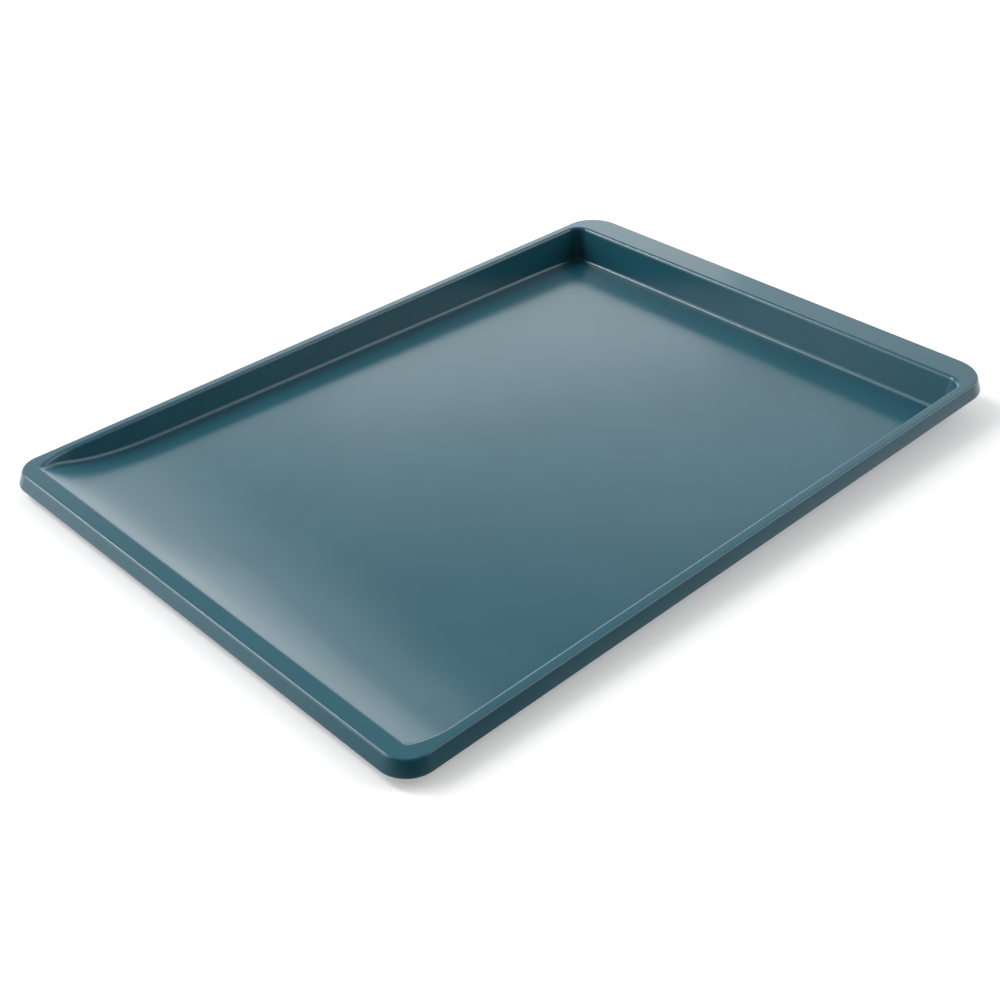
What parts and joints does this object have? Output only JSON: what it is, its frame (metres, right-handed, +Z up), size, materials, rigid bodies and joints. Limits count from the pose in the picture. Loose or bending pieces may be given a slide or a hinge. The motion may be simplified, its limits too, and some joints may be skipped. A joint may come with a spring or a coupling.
{
  "type": "cookie sheet",
  "caption": "Shallow pressed-steel baking sheet with a level floor, low walls, a curved ramp at the front end, a wide grip flange at the back and a rim rolled round a wire.",
  "frame": {"origin": "middle of the sheet's overall length and width, at the underside of the level floor", "axes": "+X from the ramped front end to the grip at the back, +Y to the left seen from the front end, +Z up"},
  "size_m": [0.4982, 0.3488, 0.025],
  "materials": {
    "coated_steel": "teal semi-gloss non-stick coat on steel",
    "rim_wire": "bare drawn wire"
  },
  "bodies": {
    "root": {"pan_sheet": "coated_steel", "rim_wire": "rim_wire"}
  },
  "joints": []
}
